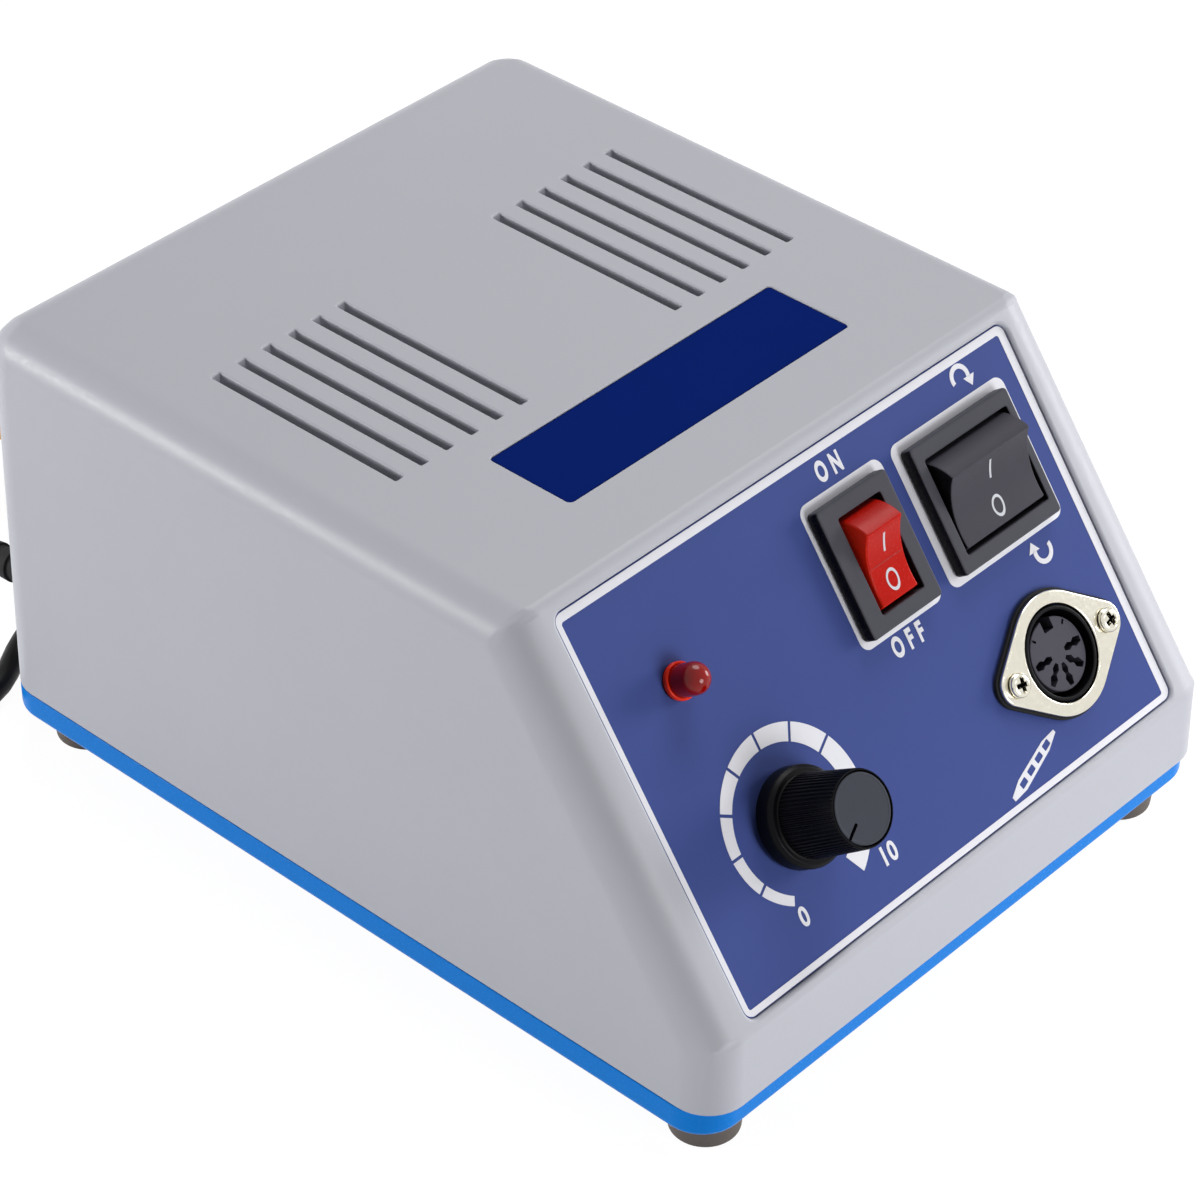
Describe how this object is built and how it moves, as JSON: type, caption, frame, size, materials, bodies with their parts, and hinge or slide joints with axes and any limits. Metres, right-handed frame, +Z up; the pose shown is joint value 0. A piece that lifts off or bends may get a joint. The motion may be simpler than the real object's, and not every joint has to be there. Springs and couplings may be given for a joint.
{
  "type": "dental laboratory micromotor control unit",
  "caption": "Wedge-nosed bench control unit of a dental lab micromotor: rocker switches, speed knob, pilot lamp and round motor socket on a sloped panel.",
  "frame": {"origin": "middle of the unit's plan, from the knob in front to the fuse cap behind, on the surface that the rubber feet stand on; the mains lead isn't counted", "axes": "+X to the right of someone facing the panel, +Y from the front to the back, +Z up"},
  "size_m": [0.1442, 0.221, 0.0811],
  "materials": {
    "cover_plastic": "light grey satin moulded plastic",
    "tray_plastic": "bright blue moulded plastic",
    "rubber": "black rubber",
    "switch_plastic": "dark grey moulded plastic",
    "black_plastic": "black moulded plastic",
    "grey_plastic": "mid grey moulded plastic",
    "panel_print": "blue printed film",
    "top_print": "navy printed film",
    "red_plastic": "clear red plastic",
    "lamp_lens": "red epoxy lens",
    "nickel": "nickel plate",
    "steel": "zinc plated steel",
    "brass": "brass",
    "copper": "enamelled copper wire under tape",
    "aluminium": "bare aluminium",
    "core_steel": "varnished steel laminations",
    "board": "green circuit board",
    "terminal_plastic": "green moulded plastic",
    "capacitor_sleeve": "blue sleeve over aluminium",
    "glass": "clear glass",
    "cord_jacket": "black flexible jacket"
  },
  "bodies": {
    "case": {"base_tray": "tray_plastic", "board_screw_1": "steel", "board_screw_2": "steel", "board_screw_3": "steel", "board_screw_4": "steel", "bridge_rectifier": "black_plastic", "case_screw_1": "steel", "case_screw_2": "steel", "case_screw_3": "steel", "case_screw_4": "steel", "circuit_board": "board", "cord_coil": "cord_jacket", "cord_run": "cord_jacket", "cord_tail": "cord_jacket", "cord_tie": "black_plastic", "direction_switch_housing": "switch_plastic", "filter_capacitor": "capacitor_sleeve", "fuse_holder": "black_plastic", "fuse_holder_nut": "switch_plastic", "fuse_link": "glass", "heat_sink": "aluminium", "lamp_holder": "switch_plastic", "mains_harness": "cord_jacket", "motor_harness": "cord_jacket", "panel_label": "panel_print", "pedal_jack": "switch_plastic", "pedal_jack_nut": "nickel", "pilot_lamp": "lamp_lens", "plug_blade_left": "brass", "plug_blade_right": "brass", "plug_body": "rubber", "potentiometer_body": "aluminium", "potentiometer_nut": "steel", "power_switch_housing": "switch_plastic", "power_transistor": "black_plastic", "rubber_foot_1": "rubber", "rubber_foot_2": "rubber", "rubber_foot_3": "rubber", "rubber_foot_4": "rubber", "socket_contact_block": "grey_plastic", "socket_flange": "nickel", "socket_gasket": "rubber", "socket_screw_left": "nickel", "socket_screw_right": "nickel", "socket_shell": "black_plastic", "strain_relief": "rubber", "terminal_block": "terminal_plastic", "top_cover": "cover_plastic", "top_label": "top_print", "transformer_core": "core_steel", "transformer_screw_left": "steel", "transformer_screw_right": "steel", "transformer_strap": "steel", "transformer_winding": "copper"},
    "speed_knob": {"speed_knob": "black_plastic", "knob_cap": "grey_plastic", "potentiometer_shaft": "steel"},
    "power_rocker": {"power_rocker": "red_plastic"},
    "direction_rocker": {"direction_rocker": "switch_plastic"},
    "fuse_cap": {"fuse_cap": "black_plastic"}
  },
  "joints": [
    {"name": "speed_knob_turn", "type": "hinge", "parent": "case", "child": "speed_knob", "pos_m": [-0.0277, -0.06688, 0.04278], "axis": [0, 0.809, -0.5878], "range_deg": [-30, 270]},
    {"name": "power_rocker_tilt", "type": "hinge", "parent": "case", "child": "power_rocker", "pos_m": [0.0071, -0.05068, 0.06303], "axis": [1, 0, 0], "range_deg": [-34, 0]},
    {"name": "direction_rocker_tilt", "type": "hinge", "parent": "case", "child": "direction_rocker", "pos_m": [0.0325, -0.05068, 0.06303], "axis": [1, 0, 0], "range_deg": [-34, 0]},
    {"name": "fuse_cap_turn", "type": "hinge", "parent": "case", "child": "fuse_cap", "pos_m": [0.036, 0.0735, 0.0442], "axis": [0, 1, 0.0094], "range_deg": [0, 90]}
  ]
}
